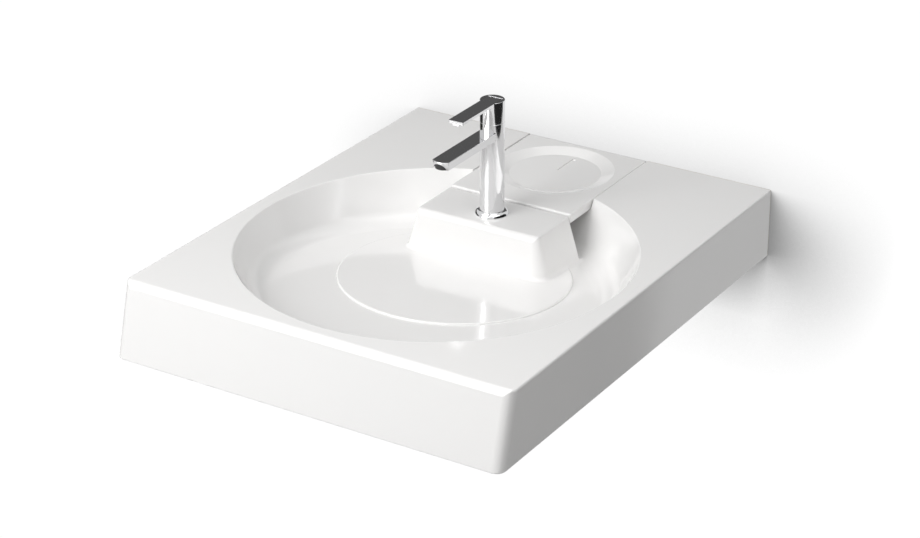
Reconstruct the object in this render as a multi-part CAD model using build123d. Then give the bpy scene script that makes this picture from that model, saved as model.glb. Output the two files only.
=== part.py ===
from build123d import *
import os
from math import cos, pi, radians, sin, tan

# Wall-hung basin with a round bowl, a lift-off cover over the drain and a single-lever tap.
# Sizes are millimetres. The origin lies on the rear face, midway between the two wall holes.
# X runs to the right as seen from the front, Y runs towards the wall and Z runs up.

# Basin body
width = 600.0
deck_z = 55.0
body_height = 104.0
nose_y = -719.5  # where the deck would meet the front face without the roll
front_lean = 14.7  # degrees; the front face runs outwards on its way down
front_roll = 12.0
corner_round = 14.0
side_edge_round = 3.0
foot_edge_round = 2.0
side_wall = 13.0
rear_wall = 16.0
deck_thickness = 13.0
cavity_round = 8.0

# Bowl
bowl_wall = 12.0
bowl_lean = 29.0  # degrees from upright
bowl_cove = 32.0
bowl_corner_radius = 243.8  # where the floor would meet the wall without the cove
floor_fall = 2.86  # degrees; the floor falls towards the wall
floor_centre_y = -428.7
floor_centre_z = -3.4
rim_round = 1.8
disc_radius = 163.3
disc_y = -371.8
disc_rise = 2.5
disc_round = 2.2
disc_buried = 4.0

# Tap island
tap_y = -273.2
island_z = 53.0
island_depth = 64.0  # from the island top to its foot
island_half_top = 98.0
island_half_foot = 116.0
island_front_top = -315.7
island_front_foot = -327.7
island_rear_top = -226.7
island_rear_foot = -224.2
island_front_corner_top = 8.0
island_front_corner_foot = 20.0
island_rear_corner = 4.0
island_roll = 9.5
island_edge_round = 3.0
island_foot_round = 6.0
island_buried = 9.0
tap_hole_radius = 17.5

# Where the casting is divided into its regions
middle_half = 127.0
middle_front = -338.0
island_back = -222.0
sump_back = -138.0
front_back = -640.0

# Recess and cover
recess_half = 100.3
recess_front = -210.0
recess_z = 40.5
cover_half = 98.5
cover_front = -224.7
cover_rear = -0.5
bumper_height = 1.0
bumper_radius = 5.0
bumper_x = 85.0
bumper_front = -120.0
bumper_rear = -25.0
cover_edge_round = 2.5
cover_corner_round = 3.0
dish_y = -96.7
dish_radius = 86.75
dish_floor_radius = 67.0
dish_depth = 6.0
groove_width = 6.0
groove_front = -85.2
groove_rear = -38.2
groove_depth = 1.5

# Drain
well_radius = 35.0
well_y = -187.2
well_z = -21.0
waste_hole_radius = 23.0
seat_radius = 33.5
seat_depth = 2.0
top_seal_height = 1.5
flange_radius = 32.0
flange_height = 3.0
waste_tube_radius = 20.95
waste_bore_radius = 18.0
waste_tube_length = 58.0
under_seal_height = 4.0
under_seal_radius = 31.0
waste_nut_radius = 29.0
waste_nut_height = 9.0
waste_nut_ribs = 12
waste_nut_groove = 3.0
tail_radius = 16.0
tail_bore_radius = 14.5
tail_insert = 18.0
tail_free = 42.0
tail_spigot_radius = 15.5
tail_neck = 1.0
tail_chamfer = 0.8
strainer_radius = 22.0
strainer_ledge = 0.8  # height of the ledge above the flange's underside

# Wall fixing
wall_hole_spacing = 280.0
wall_hole_radius = 7.0

# Tap
body_radius = 17.5
flange_foot_radius = 24.0
base_web = 1.5
base_height = 6.6
base_bore_radius = 14.0
joint_height = 139.0
joint_gap = 0.3
head_height = 171.0
head_edge_round = 0.8
head_cavity_radius = 15.3
head_cavity_height = 153.0
spigot_radius = 15.0
spigot_height = 149.0
cartridge_radius = 12.5
cartridge_seat_height = 122.0
cartridge_height = 147.0
clamp_collar_radius = 12.3
clamp_bore_radius = 7.0
clamp_height = 152.0
stem_radius = 4.0
stem_top_height = 160.0
stem_clearance = 0.05
chamber_radius = 7.0
chamber_height = 100.0
inlet_radius = 4.5
inlet_depth = 15.0
inlet_x = 7.5
inlet_y = -4.0

spout_top = 127.0
spout_thickness = 11.5
spout_half = 13.0
spout_reach = 139.0
spout_corner_reach = 134.0
spout_end_round = 1.5
spout_edge_round = 0.6
spout_bore_radius = 2.5
spout_bore_height = 119.0
outlet_reach = 126.5
aerator_radius = 11.3
aerator_bore_radius = 9.6
aerator_height = 8.0
aerator_seal_height = 1.0
aerator_recess = 1.5
aerator_insert_height = 3.5
aerator_hole_radius = 0.8
aerator_ring_radius = 6.5
notch_radius = 11.6
notch_height = 8.7  # from the spout's underside to the top of the arch in its front

lever_half = 11.5
lever_thickness = 4.0
lever_reach = 95.0
lever_side_gap = 0.25
lever_pivot_y = 6.0
lever_pivot_height = 166.0
lever_hub_radius = 5.0
lever_hub_gap = 0.3
lever_lip_y = 3.2
lever_tab_half = 4.5
lever_tab_depth = 3.0
lever_tab_drop = 2.6
pin_radius = 1.5
pin_half = 15.2

deck_at_tap = 12.0
stud_radius = 4.0
stud_y = 9.0
stud_top_height = 13.0
stud_length = 70.0
washer_radius = 22.0
rubber_washer_height = 3.0
metal_washer_height = 2.5
hose_gap_half = 13.0
hose_gap_rear = 3.0
stud_nut_width = 13.0
stud_nut_height = 6.5

foot_z = deck_z - body_height
half_width = width / 2
far = 400.0  # longer than any cut has to reach


def turned(*profile):
    """Solid of revolution about Z from a closed profile of (radius, height) points."""
    return revolve(Plane.XZ * make_face(Polyline(*profile, close=True)), Axis.Z)


def rod(radius, low, high, x=0.0, y=0.0):
    """Upright cylinder between two heights."""
    return Pos(x, y, (low + high) / 2) * Cylinder(radius, high - low)


def tube(outer, inner, low, high, x=0.0, y=0.0):
    """Upright tube between two heights."""
    return rod(outer, low, high, x, y) - rod(inner, low - 1, high + 1, x, y)


def block(x_range, y_range, z_range):
    """Box between two corners."""
    size = [high - low for low, high in (x_range, y_range, z_range)]
    centre = [(high + low) / 2 for low, high in (x_range, y_range, z_range)]
    return Pos(*centre) * Box(*size)


def side_profile(half, *points):
    """Prism along X from a closed profile of (y, z) points."""
    return extrude(Plane.YZ * make_face(Polyline(*points, close=True)), half, both=True)


def near_point(shape, x, y, z):
    """The edge of a shape whose centre lies nearest to a point."""
    return shape.edges().sort_by_distance((x, y, z))[0]


def front_y(z):
    """Where the leaning front face stands at a height."""
    return nose_y - (deck_z - z) * tan(radians(front_lean))


def body_block():
    """The outer form of the basin, solid, with its corners and edges rounded."""
    profile = ((0, deck_z), (nose_y, deck_z), (front_y(foot_z), foot_z), (0, foot_z))
    body = side_profile(half_width, *profile)
    middle_z = (deck_z + foot_z) / 2
    corners = [near_point(body, side * half_width, front_y(middle_z), middle_z) for side in (-1, 1)]
    body = fillet(corners, corner_round)
    top = [edge for edge in body.edges() if min(v.Z for v in edge.vertices()) > deck_z - 0.01]
    body = fillet([edge for edge in top if edge.center().Y < -1], side_edge_round)
    foot = [edge for edge in body.edges() if max(v.Z for v in edge.vertices()) < foot_z + 0.01]
    body = fillet([edge for edge in foot if edge.center().Y < -1], foot_edge_round)
    face = make_face(Polyline(*profile, close=True))
    face = fillet(face.vertices().sort_by_distance((nose_y, deck_z))[0], front_roll)
    return body & extrude(Plane.YZ * face, half_width + 10, both=True)


def tilted(shape):
    """A shape drawn about the bowl's own axis, set square to the falling floor."""
    return Pos(0, floor_centre_y, floor_centre_z) * Rot(-floor_fall, 0, 0) * shape


def bowl_form(offset):
    """The hollow of the bowl, or with an offset the outside of its wall, above the floor."""
    lean = radians(bowl_lean)
    corner = bowl_corner_radius + offset * (1 - sin(lean)) / cos(lean)
    height = 120.0
    rim = corner + (height + offset) * tan(lean)
    profile = ((0, -offset), (corner, -offset), (rim, height), (0, height))
    face = make_face(Polyline(*profile, close=True))
    face = fillet(face.vertices().sort_by_distance((corner, -offset))[0], bowl_cove + offset)
    return tilted(revolve(Plane.XZ * face, Axis.Z))


def on_disc(shape):
    """A shape drawn about the axis of the raised disc, with the plain floor as its zero height."""
    along_floor = (disc_y - floor_centre_y) / cos(radians(floor_fall))
    return tilted(Pos(0, along_floor, 0) * shape)


def raised_disc():
    """The low round step on the bowl floor."""
    disc = rod(disc_radius, -disc_buried, disc_rise)
    return on_disc(fillet(disc.edges().group_by(Axis.Z)[-1], disc_round))


def island_section(drop, inset=0.0):
    """Outline of the tap island at a depth below its top."""
    share = drop / island_depth
    half = island_half_top + (island_half_foot - island_half_top) * share - inset
    front = island_front_top + (island_front_foot - island_front_top) * share + inset
    rear = island_rear_top + (island_rear_foot - island_rear_top) * share - inset
    grown = island_front_corner_foot - island_front_corner_top
    front_corner = island_front_corner_top + grown * share
    corners = ((-half, front), (half, front), (half, rear), (-half, rear))
    face = make_face(Polyline(*corners, close=True))
    front_points = face.vertices().group_by(Axis.Y)[0]
    face = fillet(front_points, front_corner)
    rear_points = [face.vertices().sort_by_distance((side * half, rear))[0] for side in (-1, 1)]
    return fillet(rear_points, island_rear_corner)


def island_block():
    """The tap island with its rolled front edge, reaching down into the bowl floor."""
    depth = island_depth + island_buried
    sections = [Pos(0, 0, island_z - drop) * island_section(drop) for drop in (depth, 0)]
    island = loft(sections, ruled=True)
    top = [edge for edge in island.edges() if min(v.Z for v in edge.vertices()) > island_z - 0.01]
    island = fillet(top, island_edge_round)
    slope = (island_front_top - island_front_foot) / island_depth
    step = 0.01
    front = island_front_top - step
    profile = (
        (island_rear_top + 30, island_z + step),
        (front, island_z + step),
        (front - slope * (depth + 5), island_z - depth - 5),
        (island_rear_top + 30, island_z - depth - 5),
    )
    face = make_face(Polyline(*profile, close=True))
    face = fillet(face.vertices().sort_by_distance((front, island_z))[0], island_roll)
    return island & extrude(Plane.YZ * face, island_half_foot + 20, both=True)


def foot_edges(shape):
    """The edges of a shape where the tap island meets what it stands on."""
    reach = 9.0
    edges = []
    for edge in shape.edges():
        box = edge.bounding_box()
        beside = max(-box.min.X, box.max.X) < island_half_foot + reach
        within = island_front_foot - reach < box.min.Y and box.max.Y < island_rear_foot + reach
        low = island_z - island_depth - reach < box.min.Z and box.max.Z < island_z - island_depth + 2 * reach
        if beside and within and low:
            edges.append(edge)
    return edges


def island_on_disc():
    """The island's foot where it stands on the raised disc, with its soft fillet."""
    slab = on_disc(rod(disc_radius + 30, -20, disc_rise))
    island = slab + island_block()
    island = fillet(foot_edges(island), island_foot_round)
    return island & on_disc(rod(disc_radius - disc_round, -disc_buried, 20))


def island_hollow():
    """The space under the tap island, open below, for the hoses and the fixing nut."""
    drops = (island_depth + 60, deck_at_tap)
    sections = [Pos(0, 0, island_z - drop) * island_section(drop, bowl_wall) for drop in drops]
    return loft(sections, ruled=True)


def underside_space():
    """The open space under the deck, around the bowl, the recess and the drain well."""
    inner_front = side_wall / cos(radians(front_lean))
    top = deck_z - deck_thickness
    low = foot_z - 20
    space = side_profile(
        half_width - side_wall,
        (-rear_wall, top),
        (front_y(top) + inner_front, top),
        (front_y(low) + inner_front, low),
        (-rear_wall, low),
    )
    space = fillet([e for e in space.edges() if e.center().Z > low + 1], cavity_round)
    tray_half = recess_half + bowl_wall
    space -= bowl_form(bowl_wall)
    space -= block((-tray_half, tray_half), (-240, 0), (recess_z - bowl_wall, deck_z))
    space -= rod(well_radius + bowl_wall, well_z - bowl_wall, deck_z, y=well_y)
    return space


def basin_shell():
    """The white body: deck, bowl, island, cover recess, drain well and rear wall."""
    shell = body_block() - bowl_form(0)
    rim = [e for e in shell.edges() if abs(e.center().Z - deck_z) < 0.01 and e.length > 900]
    shell = fillet(rim, rim_round)
    shell -= underside_space()
    shell += island_block()
    shell = fillet(foot_edges(shell), island_foot_round)
    shell += raised_disc()
    shell += island_on_disc()
    shell -= island_hollow()
    shell -= rod(tap_hole_radius, 0, deck_z + 10, y=tap_y)
    shell -= block((-recess_half, recess_half), (recess_front, 10), (recess_z, deck_z + 10))
    shell -= rod(well_radius, well_z, deck_z + 10, y=well_y)
    shell -= rod(seat_radius, well_z - seat_depth, well_z + 1, y=well_y)
    shell -= rod(waste_hole_radius, well_z - far, well_z, y=well_y)
    for side in (-1, 1):
        hole = Rot(90, 0, 0) * Cylinder(wall_hole_radius, 4 * rear_wall)
        shell -= Pos(side * wall_hole_spacing / 2, 0, 0) * hole
    return shell


def middle(front, rear):
    """The space between two heights of Y that holds the island, the well and the recess."""
    return block((-middle_half, middle_half), (front, rear), (foot_z - 100, deck_z + 10))


def bowl_zone():
    """The space that the bowl takes up with its wall, in front of the island and beside it."""
    return bowl_form(bowl_wall + 1) - middle(middle_front, 10)


def outer_zone(x_range, y_range):
    """A part of the space outside the bowl and the middle."""
    zone = block(x_range, y_range, (foot_z - 100, deck_z + 10))
    return zone - bowl_form(bowl_wall + 1) - middle(middle_front, 10)


def drain_cover():
    """The lift-off plate with its shallow dish and the groove in the dish floor."""
    low = recess_z + bumper_height
    plate = block((-cover_half, cover_half), (cover_front, cover_rear), (low, deck_z))
    plate = fillet(plate.edges().filter_by(Axis.Z), cover_corner_round)
    top = [edge for edge in plate.edges() if min(v.Z for v in edge.vertices()) > deck_z - 0.01]
    plate = fillet(top, cover_edge_round)
    slope = (dish_radius - dish_floor_radius) / dish_depth
    dish = turned(
        (0, -dish_depth),
        (dish_floor_radius, -dish_depth),
        (dish_radius + 5 * slope, 5),
        (0, 5),
    )
    plate -= Pos(0, dish_y, deck_z) * dish
    groove_floor = deck_z - dish_depth - groove_depth
    groove = block((-groove_width / 2, groove_width / 2), (groove_front, groove_rear), (groove_floor, deck_z))
    return plate - groove


def cover_bumpers():
    """Four soft pads on the recess floor that carry the cover."""
    places = [(x, y) for x in (-bumper_x, bumper_x) for y in (bumper_front, bumper_rear)]
    pads = [rod(bumper_radius, recess_z, recess_z + bumper_height, x, y) for x, y in places]
    return Compound(children=pads)


seat_z = well_z - seat_depth
flange_z = seat_z + top_seal_height
under_z = well_z - bowl_wall
tube_foot_z = flange_z - waste_tube_length


def waste_top_seal():
    """Flat gasket between the seat of the well and the waste flange."""
    return tube(seat_radius - 2, waste_tube_radius, seat_z, flange_z, y=well_y)


def waste_under_seal():
    """Gasket between the underside of the well and the waste nut."""
    return tube(under_seal_radius, waste_tube_radius, under_z - under_seal_height, under_z, y=well_y)


def waste_body():
    """Flange and threaded tube of the waste, with the ledge that carries the strainer."""
    top = flange_z + flange_height
    ledge = strainer_radius + 0.8
    profile = (
        (waste_bore_radius, flange_z + strainer_ledge),
        (ledge, flange_z + strainer_ledge),
        (ledge, top - 1),
        (ledge + 1, top),
        (flange_radius - 2, top - 0.8),
        (flange_radius, flange_z + 0.8),
        (flange_radius, flange_z),
        (waste_tube_radius, flange_z),
        (waste_tube_radius, tube_foot_z),
        (tail_spigot_radius, tube_foot_z),
        (tail_spigot_radius, tube_foot_z + tail_insert),
        (tail_bore_radius, tube_foot_z + tail_insert),
        (waste_bore_radius, tube_foot_z + tail_insert + 4),
    )
    return Pos(0, well_y, 0) * turned(*profile)


def strainer():
    """Lift-out sieve: a domed disc with slots, a small knob and a short stem below."""
    low = flange_z + strainer_ledge
    disc = turned((0, low), (strainer_radius - 0.4, low), (strainer_radius, low + 1.2), (0, low + 2.6))
    slots = 10
    slot = Pos(14.5, 0, 0) * Box(9, 3.2, 40)
    for index in range(slots):
        disc -= Pos(0, 0, low) * Rot(0, 0, index * 360 / slots) * slot
    knob = turned((0, low + 1), (3, low + 1), (3, low + 4), (4.5, low + 6), (3.5, low + 7), (0, low + 7.4))
    stem = rod(4, low - 14, low + 1)
    return Pos(0, well_y, 0) * (disc + knob + stem)


def hexagon_nut(across_flats, bore, low, high, x=0.0, y=0.0):
    """A six-sided nut about an upright axis."""
    blank = extrude(RegularPolygon(across_flats / 2, 6, major_radius=False), high - low)
    corner = across_flats / 2 / cos(pi / 6)
    trim = 0.08 * across_flats
    cone = turned((0, 0), (corner - trim, 0), (corner + 1, trim), (corner + 1, high - low), (0, high - low))
    return Pos(x, y, low) * (blank & cone) - rod(bore, low - 1, high + 1, x, y)


def waste_nut():
    """Round nut with grip ribs that pulls the waste against the basin."""
    high = under_z - under_seal_height
    low = high - waste_nut_height
    nut = rod(waste_nut_radius, low, high, y=well_y)
    nut = fillet(nut.edges().group_by(Axis.Z)[0], 1.5)
    for index in range(waste_nut_ribs):
        angle = 2 * pi * index / waste_nut_ribs
        x = (waste_nut_radius + 1) * cos(angle)
        y = well_y + (waste_nut_radius + 1) * sin(angle)
        nut -= rod(waste_nut_groove, low - 1, high - 2, x, y)
    return nut - rod(waste_tube_radius, low - 1, high + 1, y=well_y)


def waste_tail():
    """Plain outlet pipe below the waste body, for a trap, with a thinner spigot inside the body."""
    low = tube_foot_z - tail_free
    profile = (
        (tail_bore_radius, low),
        (tail_radius - tail_chamfer, low),
        (tail_radius, low + tail_chamfer),
        (tail_radius, tube_foot_z - tail_neck),
        (tail_spigot_radius, tube_foot_z - tail_neck),
        (tail_spigot_radius, tube_foot_z + tail_insert),
        (tail_bore_radius, tube_foot_z + tail_insert),
    )
    return Pos(0, well_y, 0) * turned(*profile)


def at_tap(shape):
    """Sets a tap piece, drawn from the island top on the tap axis, in its place."""
    return Pos(0, tap_y, island_z) * shape


def tap_base_ring():
    """Flared ring at the tap's foot, with the web that the body stands on."""
    face = make_face(
        Polyline((flange_foot_radius, 0), (flange_foot_radius, 1.2))
        + RadiusArc((flange_foot_radius, 1.2), (body_radius + 0.1, base_height), -8.0)
        + Polyline(
            (body_radius + 0.1, base_height),
            (body_radius + 0.1, base_web),
            (base_bore_radius, base_web),
            (base_bore_radius, 0),
            (19.0, 0),
            (19.0, 0.8),
            (22.2, 0.8),
            (22.2, 0),
            (flange_foot_radius, 0),
        )
    )
    return revolve(Plane.XZ * face, Axis.Z)


def tap_base_seal():
    """Flat gasket in the groove under the base ring."""
    return tube(22.2, 19.0, 0, 0.8)


def tap_body():
    """Upright body with its water inlets, mixing chamber, cartridge seat and threaded neck."""
    body = rod(body_radius, base_web, joint_height)
    top_edge = [e for e in body.edges() if e.center().Z > joint_height - 0.01]
    body = chamfer(top_edge, 0.3)
    body += rod(spigot_radius, joint_height - 1, spigot_height)
    body -= rod(cartridge_radius, cartridge_seat_height, far)
    body -= rod(chamber_radius, chamber_height, cartridge_seat_height + 1)
    for side in (-1, 1):
        body -= rod(inlet_radius, 0, base_web + inlet_depth, side * inlet_x, inlet_y)
    body -= rod(stud_radius, 0, stud_top_height, y=stud_y)
    bore = Rot(90, 0, 0) * Cylinder(spout_bore_radius, 2 * body_radius)
    return body - Pos(0, -body_radius, spout_bore_height) * bore


def spout_outline():
    """Plan of the spout: parallel sides and a gently curved front end."""
    left, right = (-spout_half, -spout_corner_reach), (spout_half, -spout_corner_reach)
    return make_face(
        ThreePointArc(left, (0, -spout_reach), right)
        + Polyline(right, (spout_half, 0), (-spout_half, 0), left)
    )


def at_outlet(shape):
    """Sets a shape drawn from the spout's underside about Z on the outlet's upright axis."""
    return Pos(0, -outlet_reach, spout_top - spout_thickness) * shape


def spout():
    """Flat spout with its water way, the socket for the outlet and the arch in its front wall."""
    low_z = spout_top - spout_thickness
    bar = Pos(0, 0, low_z) * extrude(spout_outline(), spout_thickness)
    bar = fillet(bar.edges().filter_by(Axis.Z).sort_by(Axis.Y)[:2], spout_end_round)
    low, high = bar.edges().group_by(Axis.Z)[0], bar.edges().group_by(Axis.Z)[-1]
    bar = fillet([edge for edge in low + high if edge.center().Y < -1], spout_edge_round)
    bar -= rod(body_radius, 0, far)
    bore = Rot(90, 0, 0) * Cylinder(spout_bore_radius, outlet_reach)
    bar -= Pos(0, -outlet_reach / 2, spout_bore_height) * bore
    bar -= at_outlet(rod(aerator_radius, -1, aerator_height + aerator_seal_height))
    arch_length = spout_reach - outlet_reach
    arch = Rot(90, 0, 0) * Cylinder(notch_radius, arch_length)
    arch_y = -outlet_reach - arch_length / 2 - 1
    return bar - Pos(0, arch_y, low_z + notch_height - notch_radius) * arch


def aerator_housing():
    """Round outlet body in the spout's socket, seen through the arch."""
    return at_outlet(tube(aerator_radius, aerator_bore_radius, 0, aerator_height))


def aerator_insert():
    """Outlet plate with a ring of jets, set back inside the housing."""
    plate = rod(aerator_bore_radius, aerator_recess, aerator_recess + aerator_insert_height)
    jets = 12
    for index in range(jets):
        angle = 2 * pi * index / jets
        x, y = aerator_ring_radius * cos(angle), aerator_ring_radius * sin(angle)
        plate -= rod(aerator_hole_radius, 0, aerator_height, x, y)
    return at_outlet(plate - rod(aerator_hole_radius, 0, aerator_height))


def aerator_seal():
    """Flat ring between the outlet housing and the top of its socket."""
    inner = aerator_bore_radius - 1.5
    return at_outlet(tube(aerator_radius, inner, aerator_height, aerator_height + aerator_seal_height))


def cartridge():
    """Mixing cartridge: a stepped cylinder with a socket for its stem."""
    lower = rod(cartridge_radius - 0.05, cartridge_seat_height, cartridge_height)
    upper = rod(9.0, cartridge_height - 1, cartridge_height + 2)
    upper = upper & rod(clamp_bore_radius - 0.3, 0, far)
    socket = rod(stem_radius + stem_clearance, cartridge_height - 8, far)
    return lower + upper - socket


def cartridge_clamp_nut():
    """Ring nut that holds the cartridge in the neck of the body."""
    ring = rod(spigot_radius - 0.4, spigot_height, clamp_height)
    ring += rod(clamp_collar_radius, cartridge_height, spigot_height + 1)
    for side in (-1, 1):
        ring -= block((side * 12.5 - 1.5, side * 12.5 + 1.5), (-1.5, 1.5), (clamp_height - 1.5, clamp_height + 1))
    return ring - rod(clamp_bore_radius, 0, far)


def cartridge_stem():
    """Spindle that the head turns in the cartridge."""
    return rod(stem_radius, cartridge_height - 7.9, stem_top_height)


def temperature_head():
    """Turning top of the tap, hollow over the neck, with the channel for the lever."""
    low = joint_height + joint_gap
    head = rod(body_radius, low, head_height)
    head = fillet(head.edges().group_by(Axis.Z)[-1], head_edge_round)
    head -= rod(head_cavity_radius, 0, head_cavity_height)
    head -= rod(stem_radius, 0, stem_top_height)
    channel_half = lever_half + lever_side_gap
    floor = head_height - lever_thickness - lever_hub_gap
    head -= block((-channel_half, channel_half), (-30, lever_lip_y + lever_pivot_y - lever_hub_gap), (floor, far))
    trough = Rot(0, 90, 0) * Cylinder(lever_hub_radius + lever_hub_gap, 2 * channel_half)
    head -= Pos(0, lever_pivot_y, lever_pivot_height) * trough
    pin_hole = Rot(0, 90, 0) * Cylinder(pin_radius, 2 * pin_half)
    return head - Pos(0, lever_pivot_y, lever_pivot_height) * pin_hole


def lever():
    """Flat handle bar with a round hub at the rear and a finger tab under the tip."""
    low = head_height - lever_thickness
    bar = block((-lever_half, lever_half), (-lever_reach, lever_pivot_y), (low, head_height))
    hub = Rot(0, 90, 0) * Cylinder(lever_hub_radius, 2 * lever_half)
    bar += Pos(0, lever_pivot_y, lever_pivot_height) * hub
    bar = fillet(bar.edges().filter_by(Axis.Z).sort_by(Axis.Y)[:2], 0.6)
    front = -lever_reach
    tab = block((-lever_tab_half, lever_tab_half), (front, front + lever_tab_depth), (low - lever_tab_drop, low + 1))
    bar += tab
    hole = Rot(0, 90, 0) * Cylinder(pin_radius + stem_clearance, 3 * lever_half)
    return bar - Pos(0, lever_pivot_y, lever_pivot_height) * hole


def lever_pin():
    """Cross pin that the lever tilts on."""
    return Pos(0, lever_pivot_y, lever_pivot_height) * Rot(0, 90, 0) * Cylinder(pin_radius, 2 * pin_half)


def fixing_stud():
    """Threaded rod that pulls the tap down on the island."""
    return rod(stud_radius, stud_top_height - stud_length, stud_top_height, y=stud_y)


def horseshoe_washer(high, height):
    """Washer under the island with a gap in front for the hoses."""
    washer = rod(washer_radius, high - height, high)
    gap = block((-hose_gap_half, hose_gap_half), (-far, hose_gap_rear), (-far, far))
    return washer - gap - rod(stud_radius, -far, far, y=stud_y)


def stud_nut():
    """Nut below the washers."""
    high = -deck_at_tap - rubber_washer_height - metal_washer_height
    return hexagon_nut(stud_nut_width, stud_radius, high - stud_nut_height, high, y=stud_y)


casting = basin_shell()
side_range = (front_back, 10)
front_range = (front_y(foot_z) - 10, front_back)

nodes = {
    "basin_bowl": lambda: casting & bowl_zone(),
    "basin_front": lambda: casting & outer_zone((-half_width - 10, half_width + 10), front_range),
    "basin_left": lambda: casting & outer_zone((-half_width - 10, 0), side_range),
    "basin_right": lambda: casting & outer_zone((0, half_width + 10), side_range),
    "basin_island": lambda: casting & middle(middle_front, island_back),
    "basin_sump": lambda: casting & middle(island_back, sump_back),
    "basin_tray": lambda: casting & middle(sump_back, 10),
    "drain_cover": drain_cover,
    "cover_bumpers": cover_bumpers,
    "waste_body": waste_body,
    "waste_top_seal": waste_top_seal,
    "waste_under_seal": waste_under_seal,
    "waste_nut": waste_nut,
    "waste_tail": waste_tail,
    "strainer": strainer,
    "tap_base_ring": lambda: at_tap(tap_base_ring()),
    "tap_base_seal": lambda: at_tap(tap_base_seal()),
    "tap_body": lambda: at_tap(tap_body()),
    "spout": lambda: at_tap(spout()),
    "aerator_housing": lambda: at_tap(aerator_housing()),
    "aerator_insert": lambda: at_tap(aerator_insert()),
    "aerator_seal": lambda: at_tap(aerator_seal()),
    "cartridge": lambda: at_tap(cartridge()),
    "cartridge_clamp_nut": lambda: at_tap(cartridge_clamp_nut()),
    "cartridge_stem": lambda: at_tap(cartridge_stem()),
    "temperature_head": lambda: at_tap(temperature_head()),
    "lever": lambda: at_tap(lever()),
    "lever_pin": lambda: at_tap(lever_pin()),
    "fixing_stud": lambda: at_tap(fixing_stud()),
    "rubber_horseshoe_washer": lambda: at_tap(horseshoe_washer(-deck_at_tap, rubber_washer_height)),
    "metal_horseshoe_washer": lambda: at_tap(
        horseshoe_washer(-deck_at_tap - rubber_washer_height, metal_washer_height)
    ),
    "stud_nut": lambda: at_tap(stud_nut()),
}

os.makedirs("parts", exist_ok=True)
for name, make in nodes.items():
    export_step(make(), f"parts/{name}.step")
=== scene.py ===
"""A wall-hung basin with its single-lever tap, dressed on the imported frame."""

import logging
import math
from dataclasses import dataclass
from enum import Enum
from typing import Any

import bpy
from mathutils import Matrix, Vector


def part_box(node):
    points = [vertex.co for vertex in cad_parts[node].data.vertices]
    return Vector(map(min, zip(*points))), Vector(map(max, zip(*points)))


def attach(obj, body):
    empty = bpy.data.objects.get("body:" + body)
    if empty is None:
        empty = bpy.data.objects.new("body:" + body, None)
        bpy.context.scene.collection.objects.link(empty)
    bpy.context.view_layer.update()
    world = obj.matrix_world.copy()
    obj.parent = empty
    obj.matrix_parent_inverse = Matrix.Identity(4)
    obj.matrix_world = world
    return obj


Colour = tuple[float, float, float]
Point = tuple[float, float, float]

log = logging.getLogger("basin")

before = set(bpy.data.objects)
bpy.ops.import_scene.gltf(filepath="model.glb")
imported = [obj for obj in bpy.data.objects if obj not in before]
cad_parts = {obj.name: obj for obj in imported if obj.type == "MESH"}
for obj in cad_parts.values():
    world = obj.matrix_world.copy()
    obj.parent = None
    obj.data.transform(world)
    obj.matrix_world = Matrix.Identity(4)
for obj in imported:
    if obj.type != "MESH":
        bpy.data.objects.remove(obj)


class Operation(Enum):
    """The Math operations that recipes use."""

    ADD = "ADD"
    MULTIPLY = "MULTIPLY"
    POWER = "POWER"
    GREATER = "GREATER_THAN"
    LARGER = "MAXIMUM"


class Socket:
    """An output socket in a recipe, on which arithmetic adds Math nodes."""

    def __init__(self, recipe: "Recipe", socket: bpy.types.NodeSocket) -> None:
        """Keeps the recipe that the socket belongs to and the socket itself."""
        self.recipe = recipe
        self.socket = socket

    def _math(self, operation: Operation, first: Any, second: Any) -> "Socket":
        """Adds a Math node for one operation on two values and returns its output."""
        settings = {"operation": operation.value}
        return self.recipe.node("ShaderNodeMath", settings, {0: first, 1: second})

    def __add__(self, other: Any) -> "Socket":
        """self + other."""
        return self._math(Operation.ADD, self, other)

    def __radd__(self, other: Any) -> "Socket":
        """other + self."""
        return self._math(Operation.ADD, other, self)

    def __mul__(self, other: Any) -> "Socket":
        """self * other."""
        return self._math(Operation.MULTIPLY, self, other)

    def __rmul__(self, other: Any) -> "Socket":
        """other * self."""
        return self._math(Operation.MULTIPLY, other, self)

    def __pow__(self, other: Any) -> "Socket":
        """self ** other."""
        return self._math(Operation.POWER, self, other)

    def __gt__(self, other: Any) -> "Socket":
        """1 where self is greater than other, else 0."""
        return self._math(Operation.GREATER, self, other)

    def larger(self, other: Any) -> "Socket":
        """The larger of self and other."""
        return self._math(Operation.LARGER, self, other)

    def output(self, name: str | int) -> "Socket":
        """Another output of the same node, by name or number."""
        return Socket(self.recipe, self.socket.node.outputs[name])


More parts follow.
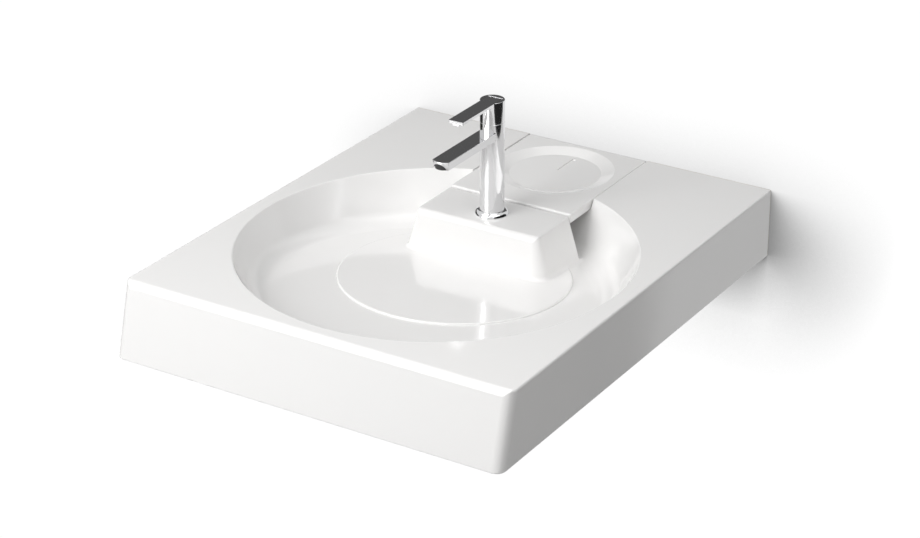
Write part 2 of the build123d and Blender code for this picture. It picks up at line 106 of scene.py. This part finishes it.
class Recipe:
    """The node tree of one material, from its coordinates to its shader."""

    def __init__(self, name: str) -> None:
        """Starts an empty material of that name."""
        self.material = bpy.data.materials.new(name)
        self.material.use_nodes = True
        self.tree = self.material.node_tree
        self.tree.nodes.clear()

    def node(
        self,
        kind: str,
        settings: dict[str, Any] | None = None,
        inputs: dict[Any, Any] | None = None,
    ) -> Socket:
        """Adds a node with its settings made first, then its inputs.

        Args:
            kind: Blender's name of the node type.
            settings: attributes of the node.
            inputs: values or sockets for the node's inputs, by name or number.

        Returns:
            The node's first output, or its first input where it has no output.
        """
        node = self.tree.nodes.new(kind)
        for name, value in (settings or {}).items():
            setattr(node, name, value)
        for key, value in (inputs or {}).items():
            if isinstance(value, Socket):
                self.tree.links.new(value.socket, node.inputs[key])
            else:
                node.inputs[key].default_value = value
        return Socket(self, node.outputs[0]) if node.outputs else Socket(self, node.inputs[0])

    def place(self) -> Socket:
        """Object coordinates, in metres."""
        return self.node("ShaderNodeTexCoord").output("Object")

    def noise(self, scale: float, detail: float = 3.0, stretch: Point = (1.0, 1.0, 1.0)) -> Socket:
        """Noise on object coordinates.

        Args:
            scale: features per metre.
            detail: octaves.
            stretch: factor along each axis before the noise is read.

        Returns:
            The noise value, about 0.5 in the middle.
        """
        place = self.node("ShaderNodeMapping", {}, {"Vector": self.place(), "Scale": stretch})
        return self.node("ShaderNodeTexNoise", {}, {"Vector": place, "Scale": scale, "Detail": detail})

    def mix(self, factor: Any, first: Any, second: Any) -> Socket:
        """Colour between two colours by a factor."""
        values = {
            "Factor": factor,
            6: first if isinstance(first, Socket) else (*first, 1.0),
            7: second if isinstance(second, Socket) else (*second, 1.0),
        }
        return self.node("ShaderNodeMix", {"data_type": "RGBA"}, values).output(2)

    def bump(self, height: Any, distance: float, under: Socket | None = None) -> Socket:
        """Bump normal from a height, on top of another bump if one is given.

        Args:
            height: height from 0 to 1.
            distance: metres that a height of 1 stands for.
            under: normal below this one.

        Returns:
            The normal.
        """
        inputs: dict[Any, Any] = {"Height": height, "Distance": distance, "Strength": 1.0}
        if under is not None:
            inputs["Normal"] = under
        return self.node("ShaderNodeBump", {}, inputs)

    def surface(self, **inputs: Any) -> bpy.types.Material:
        """Closes the recipe with a Principled shader.

        Args:
            inputs: its sockets, with spaces written as underscores.

        Returns:
            The finished material.
        """
        named = {name.replace("_", " "): value for name, value in inputs.items()}
        for name, value in named.items():
            if isinstance(value, tuple) and len(value) == 3:
                named[name] = (*value, 1.0)
        shader = self.node("ShaderNodeBsdfPrincipled", {}, named)
        return self.close(shader)

    def close(self, shader: Socket) -> bpy.types.Material:
        """Feeds a shader to the material's output and returns the material."""
        self.node("ShaderNodeOutputMaterial", {}, {"Surface": shader})
        return self.material


@dataclass(frozen=True)
class Finish:
    """A finish by name, with the record's slot that it belongs to."""

    name: str
    slot: str

    def material(self) -> bpy.types.Material:
        """Makes the finish's material."""
        raise NotImplementedError


@dataclass(frozen=True)
class Glaze(Finish):
    """White glaze on fired clay, bare where the piece stood in the kiln."""

    white: Colour = (0.87, 0.862, 0.852)
    milky: Colour = (0.85, 0.846, 0.84)
    clay: Colour = (0.72, 0.69, 0.63)
    roughness: float = 0.08
    smear: float = 0.05
    bare_roughness: float = 0.6
    bare_from_y: float = -0.0012
    clay_shade: float = 0.85
    cloud_scale: float = 5.0
    grain_scale: float = 900.0
    smear_scale: float = 14.0
    peel_scale: float = 70.0
    peel_height: float = 0.00004
    wave_scale: float = 11.0
    wave_height: float = 0.00025
    refraction: float = 1.5

    def material(self) -> bpy.types.Material:
        """Milky clouds, a faint orange peel and bare grainy clay at the rear face."""
        recipe = Recipe(self.name)
        place = recipe.node("ShaderNodeSeparateXYZ", {}, {0: recipe.place()})
        bare = place.output("Y") > self.bare_from_y
        cloud = recipe.noise(self.cloud_scale, 2.0)
        colour = recipe.mix(cloud, self.white, self.milky)
        grain = recipe.noise(self.grain_scale, 2.0)
        dark_clay = tuple(self.clay_shade * part for part in self.clay)
        clay = recipe.mix(grain, self.clay, dark_clay)
        colour = recipe.mix(bare, colour, clay)
        rough = self.roughness + self.smear * recipe.noise(self.smear_scale, 3.0)
        rough = rough + bare * self.bare_roughness
        peel = recipe.bump(recipe.noise(self.peel_scale, 1.0), self.peel_height)
        waves = recipe.bump(recipe.noise(self.wave_scale, 1.0), self.wave_height, peel)
        return recipe.surface(
            Base_Color=colour, Roughness=rough, Normal=waves, IOR=self.refraction
        )


@dataclass(frozen=True)
class Chrome(Finish):
    """Polished chrome plate with faint wipe marks."""

    tint: Colour = (0.80, 0.80, 0.81)
    roughness: float = 0.045
    smear: float = 0.05
    wipe_scale: float = 45.0
    wipe_stretch: Point = (1.0, 1.0, 0.35)
    hair_scale: float = 1400.0
    hair_stretch: Point = (1.0, 1.0, 0.05)
    hair_height: float = 0.000004

    def material(self) -> bpy.types.Material:
        """Polish with cloudy wipe marks in its roughness and hair-fine scratches."""
        recipe = Recipe(self.name)
        wipe = recipe.noise(self.wipe_scale, 4.0, self.wipe_stretch)
        rough = self.roughness + self.smear * wipe
        hair = recipe.bump(recipe.noise(self.hair_scale, 1.0, self.hair_stretch), self.hair_height)
        return recipe.surface(Base_Color=self.tint, Metallic=1.0, Roughness=rough, Normal=hair)


@dataclass(frozen=True)
class TurnedMetal(Finish):
    """Bare metal with the rings that a lathe leaves."""

    tint: Colour = (0.60, 0.60, 0.59)
    dull: Colour = (0.50, 0.50, 0.49)
    roughness: float = 0.28
    smear: float = 0.18
    cloud_scale: float = 60.0
    ring_scale: float = 2600.0
    ring_stretch: Point = (0.03, 0.03, 1.0)
    ring_height: float = 0.00002

    def material(self) -> bpy.types.Material:
        """Turning marks about the upright axis, with duller clouds."""
        recipe = Recipe(self.name)
        cloud = recipe.noise(self.cloud_scale, 4.0)
        colour = recipe.mix(cloud, self.tint, self.dull)
        rings = recipe.bump(recipe.noise(self.ring_scale, 1.0, self.ring_stretch), self.ring_height)
        rough = self.roughness + self.smear * cloud
        return recipe.surface(Base_Color=colour, Metallic=1.0, Roughness=rough, Normal=rings)


@dataclass(frozen=True)
class Moulded(Finish):
    """Moulded rubber or plastic with a fine tool texture."""

    tint: Colour = (0.03, 0.03, 0.03)
    worn: Colour = (0.06, 0.06, 0.06)
    roughness: float = 0.6
    smear: float = 0.1
    bloom_scale: float = 90.0
    bloom_contrast: float = 2.0
    grain_scale: float = 2200.0
    grain_height: float = 0.00003

    def material(self) -> bpy.types.Material:
        """Even colour with a dusty bloom and a fine grain."""
        recipe = Recipe(self.name)
        bloom = recipe.noise(self.bloom_scale, 5.0)
        colour = recipe.mix(bloom ** self.bloom_contrast, self.tint, self.worn)
        grain = recipe.bump(recipe.noise(self.grain_scale, 2.0), self.grain_height)
        rough = self.roughness + self.smear * bloom
        return recipe.surface(Base_Color=colour, Roughness=rough, Normal=grain)


class Finishes:
    """The finishes of this basin, each made once."""

    BASIN = Glaze("basin glaze", "basin_glaze")
    COVER = Glaze("cover glaze", "cover_glaze", bare_from_y=1.0)
    CHROME = Chrome("polished chrome", "chrome")
    STEEL = TurnedMetal("stainless steel", "steel")
    BRASS = TurnedMetal(
        "raw brass", "raw_brass", (0.70, 0.53, 0.26), (0.55, 0.41, 0.20), roughness=0.32
    )
    BLACK_RUBBER = Moulded(
        "black rubber", "black_rubber", (0.025, 0.025, 0.026), roughness=0.62
    )
    SOFT_RUBBER = Moulded(
        "clear soft rubber", "soft_rubber", (0.62, 0.62, 0.60), (0.5, 0.5, 0.48), roughness=0.42
    )
    BLACK_PLASTIC = Moulded(
        "black plastic", "black_plastic", (0.03, 0.03, 0.032), (0.05, 0.05, 0.05), roughness=0.42
    )
    OUTLET = Moulded(
        "outlet plastic", "outlet_plastic", (0.55, 0.56, 0.57), (0.45, 0.46, 0.47), roughness=0.4
    )

    _made: dict[str, bpy.types.Material] = {}

    @classmethod
    def of(cls, finish: Finish) -> bpy.types.Material:
        """The material of a finish, made the first time that it is asked for."""
        if finish.name not in cls._made:
            cls._made[finish.name] = finish.material()
        return cls._made[finish.name]

    @classmethod
    def by_slot(cls) -> dict[str, Finish]:
        """The finish for each of the record's slots."""
        return {finish.slot: finish for finish in vars(cls).values() if isinstance(finish, Finish)}


@dataclass(frozen=True)
class Thread:
    """A screw thread wound on a round shank, in metres."""

    name: str
    shank: str
    radius: float
    low: float
    high: float
    pitch: float
    height: float
    steps: int = 48
    section_share: float = 0.55

    def _stand_section(self) -> None:
        """Stands the three-sided section upright on the shank's flank, in edit mode."""
        middle = (0.0, 0.0, 0.0)
        flat = (self.height / self.pitch, 1.0, 1.0)
        bpy.ops.object.mode_set(mode="EDIT")
        bpy.ops.mesh.select_all(action="SELECT")
        bpy.ops.transform.rotate(value=math.pi / 2, orient_axis="X", center_override=middle)
        bpy.ops.transform.resize(value=flat, center_override=middle)
        bpy.ops.transform.translate(value=(self.radius, 0.0, self.low + self.pitch / 2))
        bpy.ops.object.mode_set(mode="OBJECT")

    def _wind(self, thread: bpy.types.Object) -> None:
        """Winds the section about the upright axis with a screw modifier."""
        winding = thread.modifiers.new("winding", "SCREW")
        winding.axis = "Z"
        winding.steps = self.steps
        winding.render_steps = self.steps
        winding.screw_offset = self.pitch
        winding.iterations = int((self.high - self.low - self.pitch) / self.pitch)
        winding.use_normal_calculate = True
        bpy.ops.object.modifier_apply(modifier=winding.name)

    def build(self, finish: Finish, body: str) -> None:
        """Makes the thread on its shank and lets it ride with the shank's body.

        Args:
            finish: finish of the shank, which the thread shares.
            body: name of the body that the shank rides on.
        """
        (x0, y0, _), (x1, y1, _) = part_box(self.shank)
        bpy.ops.object.select_all(action="DESELECT")
        bpy.ops.mesh.primitive_circle_add(vertices=3, radius=self.pitch * self.section_share)
        thread = bpy.context.object
        thread.name = self.name
        thread.data.name = self.name
        self._stand_section()
        self._wind(thread)
        bpy.ops.object.mode_set(mode="EDIT")
        bpy.ops.mesh.select_all(action="SELECT")
        bpy.ops.transform.translate(value=((x0 + x1) / 2, (y0 + y1) / 2, 0.0))
        bpy.ops.mesh.normals_make_consistent(inside=False)
        bpy.ops.object.mode_set(mode="OBJECT")
        thread.data.materials.clear()
        thread.data.materials.append(Finishes.of(finish))
        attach(thread, body)


@dataclass
class SubAssembly:
    """A group of CAD nodes that are dressed together."""

    nodes: tuple[str, ...] = ()

    def build(self) -> None:
        """Dresses the nodes and adds the pieces that only the picture needs."""
        self._dress()
        self._add()

    def _dress(self) -> None:
        """Gives each node the finish of the slot that it was packed with."""
        finishes = Finishes.by_slot()
        for name in self.nodes:
            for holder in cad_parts[name].material_slots:
                finish = finishes[holder.material.name.split(".")[0]]
                holder.material = Finishes.of(finish)
            log.info("dressed %s", name)

    def _add(self) -> None:
        """Adds nothing, unless a sub-assembly has pieces of its own."""


@dataclass
class BasinBody(SubAssembly):
    """The glazed casting, in its regions."""

    nodes: tuple[str, ...] = (
        "basin_bowl",
        "basin_front",
        "basin_left",
        "basin_right",
        "basin_island",
        "basin_sump",
        "basin_tray",
    )


@dataclass
class RearCover(SubAssembly):
    """The lift-off cover and the pads that carry it."""

    nodes: tuple[str, ...] = ("drain_cover", "cover_bumpers")


@dataclass
class Waste(SubAssembly):
    """The drain: its body, gaskets, nut, tail and sieve."""

    nodes: tuple[str, ...] = (
        "waste_body",
        "waste_top_seal",
        "waste_under_seal",
        "waste_nut",
        "waste_tail",
        "strainer",
    )
    tube_radius: float = 0.02095
    pitch: float = 0.002
    thread_height: float = 0.0009

    def _add(self) -> None:
        """Cuts the thread below the nut."""
        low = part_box("waste_body")[0][2]
        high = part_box("waste_nut")[0][2]
        thread = Thread(
            "waste_thread", "waste_body", self.tube_radius, low, high, self.pitch, self.thread_height
        )
        thread.build(Finishes.STEEL, "basin")


@dataclass
class Tap(SubAssembly):
    """The single-lever tap above the island."""

    nodes: tuple[str, ...] = (
        "tap_base_ring",
        "tap_base_seal",
        "tap_body",
        "spout",
        "aerator_housing",
        "aerator_insert",
        "aerator_seal",
        "cartridge",
        "cartridge_clamp_nut",
        "cartridge_stem",
        "temperature_head",
        "lever",
        "lever_pin",
    )


@dataclass
class TapFixing(SubAssembly):
    """The stud, washers and nut that hold the tap from below."""

    nodes: tuple[str, ...] = (
        "fixing_stud",
        "rubber_horseshoe_washer",
        "metal_horseshoe_washer",
        "stud_nut",
    )
    stud_radius: float = 0.004
    pitch: float = 0.00125
    thread_height: float = 0.0005

    def _add(self) -> None:
        """Cuts the thread on the free end of the stud."""
        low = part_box("fixing_stud")[0][2]
        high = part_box("stud_nut")[0][2]
        thread = Thread(
            "stud_thread", "fixing_stud", self.stud_radius, low, high, self.pitch, self.thread_height
        )
        thread.build(Finishes.STEEL, "basin")


@dataclass(frozen=True)
class Card:
    """A flat card that shades reflections, between two corners."""

    name: str
    low: Point
    high: Point
    tone: float = 0.02

    def corners(self) -> tuple[Point, ...]:
        """The four corners, two along the card's foot and two along its top."""
        (x0, y0, z0), (x1, y1, z1) = self.low, self.high
        return ((x0, y0, z0), (x1, y1, z0), (x0, y0, z1), (x1, y1, z1))


@dataclass(frozen=True)
class Lamp:
    """A square soft box that faces the basin.

    The azimuth is in degrees round from the front, to the right, and the elevation in degrees
    above the horizon. The distance and the side of the square are in metres, the power in watts.
    """

    name: str
    azimuth: float
    elevation: float
    distance: float
    size: float
    power: float

    def build(self, aim: Vector) -> None:
        """Hangs the lamp so that it faces a point."""
        data = bpy.data.lights.new(self.name, "AREA")
        data.shape = "SQUARE"
        data.size = self.size
        data.energy = self.power
        lamp = bpy.data.objects.new(self.name, data)
        bpy.context.scene.collection.objects.link(lamp)
        turn, rise = math.radians(self.azimuth), math.radians(self.elevation)
        side, ahead = math.sin(turn) * math.cos(rise), -math.cos(turn) * math.cos(rise)
        towards = Vector((side, ahead, math.sin(rise)))
        lamp.location = aim + towards * self.distance
        lamp.rotation_euler = towards.to_track_quat("Z", "Y").to_euler()


@dataclass
class Studio:
    """White wall, pale floor, soft lamps and the camera."""

    lens: float = 101.28
    camera_at: Point = (1.711, -3.103, 1.5436)
    azimuth: float = 31.934
    elevation: float = 25.512
    roll: float = -0.066
    floor_z: float = -1.2
    wall_y: float = 0.0006
    wall_half_width: float = 12.0
    wall_top: float = 6.0
    wall_glow: float = 1.02
    floor_half: float = 12.0
    floor_tone: float = 0.8
    floor_glow: float = 0.55
    ambient: float = 0.36
    aim: Point = (0.0, -0.36, 0.0)
    lamps: tuple[Lamp, ...] = (
        Lamp("key", -22.0, 30.0, 2.6, 1.6, 42.0),
        Lamp("top", -25.0, 78.0, 2.2, 2.5, 21.0),
        Lamp("fill", 75.0, 50.0, 2.4, 2.0, 10.0),
    )
    # Painted shade on the wall: the tilt, reach and depth of the ambient occlusion that dims its glow.
    painted_shade_towards: Point = (-0.25, -0.6, 0.75)
    painted_shade_reach: float = 0.2
    painted_shade_depth: float = 2.0
    cards: tuple[Card, ...] = (
        Card("rear card", (-1.75, 1.0, 0.42), (0.15, 1.0, 1.5), 0.1),
        Card("right card", (0.95, -1.2, -1.0), (0.95, 0.9, 1.1)),
        Card("left card", (-1.3, -0.9, -0.4), (-1.3, 0.9, 0.4)),
    )

    def build(self) -> None:
        """Sets up everything round the object."""
        bpy.context.scene.view_settings.view_transform = "Standard"
        self._camera()
        self._world()
        self._wall()
        self._floor()
        self._cards()
        for lamp in self.lamps:
            lamp.build(Vector(self.aim))

    def _camera(self) -> None:
        """Places the camera at the photograph's point of view."""
        angles = (self.azimuth, self.elevation, self.roll)
        azimuth, elevation, roll = (math.radians(angle) for angle in angles)
        level = math.cos(elevation)
        ahead = Vector((-math.sin(azimuth) * level, math.cos(azimuth) * level, -math.sin(elevation)))
        right = ahead.cross(Vector((0.0, 0.0, 1.0))).normalized()
        up = right.cross(ahead)
        across = math.cos(roll) * right + math.sin(roll) * up
        along = math.cos(roll) * up - math.sin(roll) * right
        data = bpy.data.cameras.new("camera")
        data.sensor_width = 36.0
        data.lens = self.lens
        data.clip_end = 50.0
        camera = bpy.data.objects.new("camera", data)
        bpy.context.scene.collection.objects.link(camera)
        camera.location = self.camera_at
        camera.rotation_euler = Matrix((across, along, -ahead)).transposed().to_euler()
        bpy.context.scene.camera = camera

    def _world(self) -> None:
        """A soft even room, white where it is seen directly or in a reflection."""
        world = bpy.data.worlds.new("room")
        world.use_nodes = True
        bpy.context.scene.world = world
        tree = world.node_tree
        tree.nodes.clear()
        path = tree.nodes.new("ShaderNodeLightPath")
        seen = tree.nodes.new("ShaderNodeMath")
        seen.operation = "MAXIMUM"
        tree.links.new(path.outputs["Is Camera Ray"], seen.inputs[0])
        tree.links.new(path.outputs["Is Glossy Ray"], seen.inputs[1])
        clear = tree.nodes.new("ShaderNodeMath")
        clear.operation = "MAXIMUM"
        tree.links.new(seen.outputs[0], clear.inputs[0])
        tree.links.new(path.outputs["Is Transmission Ray"], clear.inputs[1])
        strength = tree.nodes.new("ShaderNodeMapRange")
        strength.inputs["To Min"].default_value = self.ambient
        strength.inputs["To Max"].default_value = 1.0
        tree.links.new(clear.outputs[0], strength.inputs["Value"])
        background = tree.nodes.new("ShaderNodeBackground")
        tree.links.new(strength.outputs[0], background.inputs["Strength"])
        out = tree.nodes.new("ShaderNodeOutputWorld")
        tree.links.new(background.outputs[0], out.inputs["Surface"])

    @staticmethod
    def _plane(name: str, corners: tuple[Point, ...]) -> bpy.types.Object:
        """A flat plane with its four corners in given places.

        Args:
            name: name of the plane.
            corners: left and right at the near or low edge, then left and right at the other.

        Returns:
            The plane, without a material.
        """
        bpy.ops.object.select_all(action="DESELECT")
        bpy.ops.mesh.primitive_plane_add(size=1.0)
        plane = bpy.context.object
        plane.name = name
        for vertex, corner in zip(plane.data.vertices, corners):
            vertex.co = corner
        return plane

    def _wall(self) -> None:
        """White wall whose glow carries a soft painted shade beside and below the basin."""
        low = (-self.wall_half_width, self.wall_y, self.floor_z)
        high = (self.wall_half_width, self.wall_y, self.wall_top)
        wall = self._plane("wall", Card("wall", low, high).corners())
        recipe = Recipe("white wall painted shade")
        # Painted shade: ambient occlusion about a normal tilted towards the lamps dims the wall's
        # glow, standing in for the basin's shadow.
        x, y, z = Vector(self.painted_shade_towards).normalized()
        towards_light = recipe.node("ShaderNodeCombineXYZ", {}, {0: x, 1: y, 2: z})
        openness = {"Distance": self.painted_shade_reach, "Normal": towards_light}
        shade = recipe.node("ShaderNodeAmbientOcclusion", {"samples": 24}, openness)
        open_share = shade.output("AO") ** self.painted_shade_depth
        paint = recipe.node("ShaderNodeEmission", {}, {"Strength": open_share * self.wall_glow})
        behind = recipe.node("ShaderNodeNewGeometry").output("Backfacing")
        clear = recipe.node("ShaderNodeBsdfTransparent")
        mixed = recipe.node("ShaderNodeMixShader", {}, {0: behind, 1: paint, 2: clear})
        wall.data.materials.append(recipe.close(mixed))
        wall.visible_diffuse = False
        wall.visible_shadow = False
        wall.visible_glossy = False

    def _cards(self) -> None:
        """Dark cards out of the picture, which only polished surfaces reflect."""
        for card in self.cards:
            plane = self._plane(card.name, card.corners())
            recipe = Recipe(card.name)
            tone = recipe.node("ShaderNodeEmission", {}, {"Strength": card.tone})
            plane.data.materials.append(recipe.close(tone))
            plane.visible_camera = False
            plane.visible_diffuse = False
            plane.visible_shadow = False

    def _floor(self) -> None:
        """Pale floor, white where the lamps reach it."""
        half, z = self.floor_half, self.floor_z
        corners = ((-half, -half, z), (half, -half, z), (-half, half, z), (half, half, z))
        floor = self._plane("floor", corners)
        recipe = Recipe("pale floor")
        path = recipe.node("ShaderNodeLightPath")
        seen = path.output("Is Camera Ray").larger(path.output("Is Glossy Ray"))
        tone = (self.floor_tone, self.floor_tone, self.floor_tone, 1.0)
        paint = recipe.node("ShaderNodeBsdfDiffuse", {}, {"Color": tone})
        lift = recipe.node("ShaderNodeEmission", {}, {"Strength": seen * self.floor_glow})
        floor.data.materials.append(
            recipe.close(recipe.node("ShaderNodeAddShader", {}, {0: paint, 1: lift}))
        )


def main() -> None:
    """Dresses the frame piece by piece and sets up the studio."""
    logging.basicConfig(level=logging.INFO, format="%(name)s: %(message)s")
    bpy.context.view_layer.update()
    for group in (BasinBody(), RearCover(), Waste(), Tap(), TapFixing()):
        group.build()
    Studio().build()


if __name__ == "__main__":
    main()
